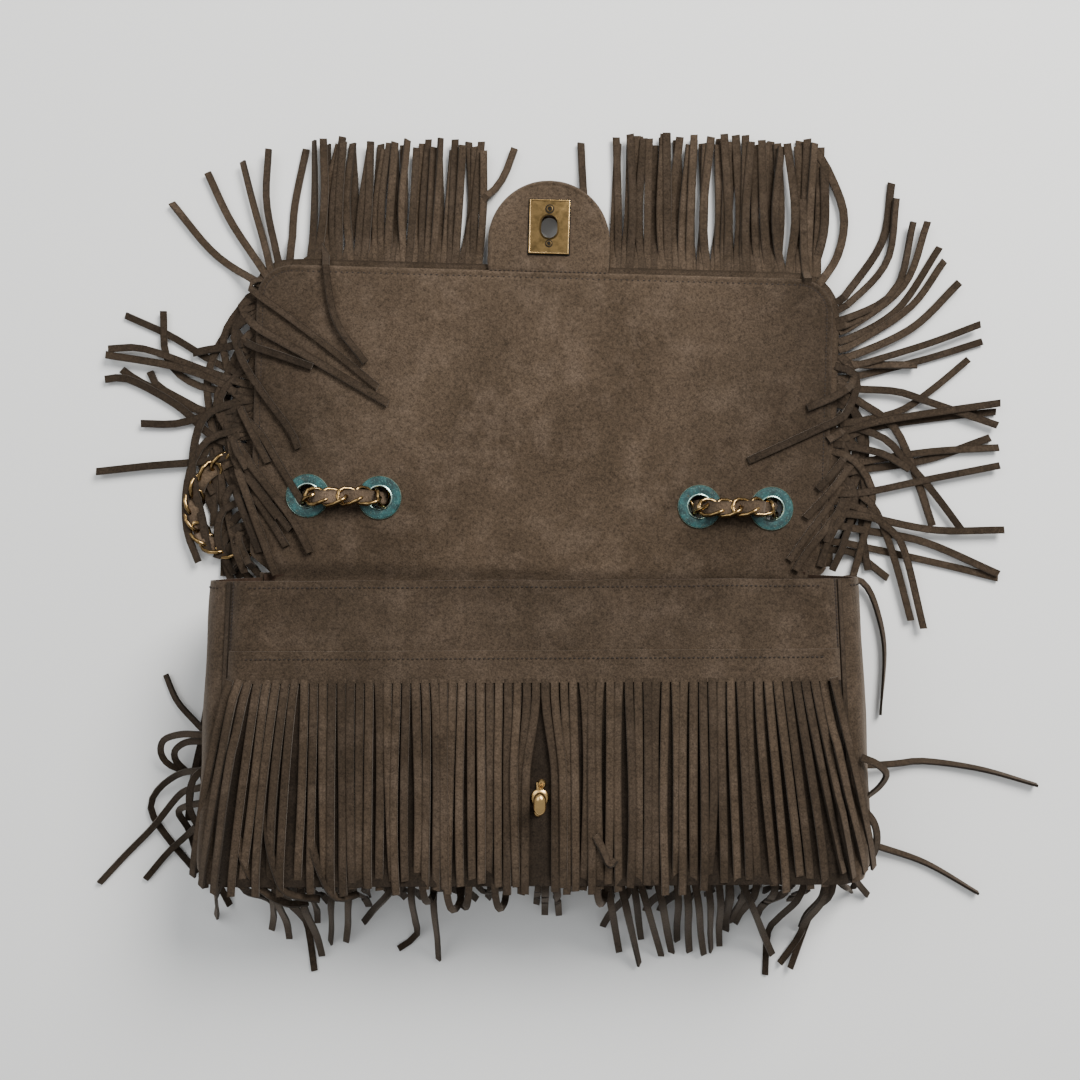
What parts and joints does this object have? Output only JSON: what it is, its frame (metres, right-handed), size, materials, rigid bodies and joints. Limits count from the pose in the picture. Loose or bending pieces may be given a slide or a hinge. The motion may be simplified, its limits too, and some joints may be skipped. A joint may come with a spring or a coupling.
{
  "type": "fringed suede flap bag",
  "caption": "Suede shoulder bag lying on its back with its fringed flap open, a turn lock on the front and a chain strap through enamelled eyelets.",
  "frame": {"origin": "middle of the back panel's outer face, which the bag lies on", "axes": "+Z out of the back towards the front face, +Y out of the mouth towards the open flap, +X along the bag"},
  "size_m": [0.4699, 0.42, 0.0866],
  "materials": {
    "suede": "taupe suede, napped, slightly mottled",
    "fringe": "taupe suede cut into narrow strips, dark cut edges",
    "lining": "dark woven cloth",
    "brass": "antique brass, worn bright on the edges",
    "enamel": "teal enamel with thin bright rims",
    "chain": "dark antique brass links laced with taupe suede"
  },
  "bodies": {
    "bag_body": {"back_panel": "suede", "front_panel": "suede", "gusset_left": "suede", "gusset_right": "suede", "bottom_panel": "suede", "lining": "lining", "front_fringe": "fringe", "lower_fringe": "fringe", "side_fringe_left": "fringe", "side_fringe_right": "fringe", "lock_base": "brass", "lock_post": "brass", "lock_washer": "brass"},
    "knob": {"lock_knob": "brass"},
    "flap_top": {"flap_top_skin": "suede", "flap_top_lining": "suede", "eyelet_1": "enamel", "eyelet_2": "enamel", "eyelet_3": "enamel", "eyelet_4": "enamel", "eyelet_washer_1": "brass", "eyelet_washer_2": "brass", "eyelet_washer_3": "brass", "eyelet_washer_4": "brass", "strap_inner_left": "chain", "strap_inner_right": "chain", "strap_run_outer": "chain", "strap_run_inner": "chain", "flap_fringe_left_top": "fringe", "flap_fringe_right_top": "fringe"},
    "flap_front": {"flap_front_skin": "suede", "flap_front_lining": "suede", "tab": "suede", "lock_plate_inner": "brass", "lock_plate_outer": "brass", "plate_screw_upper": "brass", "plate_screw_lower": "brass", "flap_fringe_left_front": "fringe", "flap_fringe_right_front": "fringe", "flap_fringe_end_left": "fringe", "flap_fringe_end_right": "fringe"}
  },
  "joints": [
    {"name": "knob_turn", "type": "hinge", "parent": "bag_body", "child": "knob", "pos_m": [0.0025, -0.0291, 0.0835], "axis": [0, 0, 1], "range_deg": [0, 90]},
    {"name": "flap_lift", "type": "hinge", "parent": "bag_body", "child": "flap_top", "pos_m": [0.0015, 0.0718, 0.009], "axis": [0.9999, -0.014, 0], "range_deg": [0, 90]},
    {"name": "flap_fold", "type": "hinge", "parent": "flap_top", "child": "flap_front", "pos_m": [0.00338, 0.13897, 0.01], "axis": [0.9999, -0.014, 0], "range_deg": [0, 90]}
  ]
}
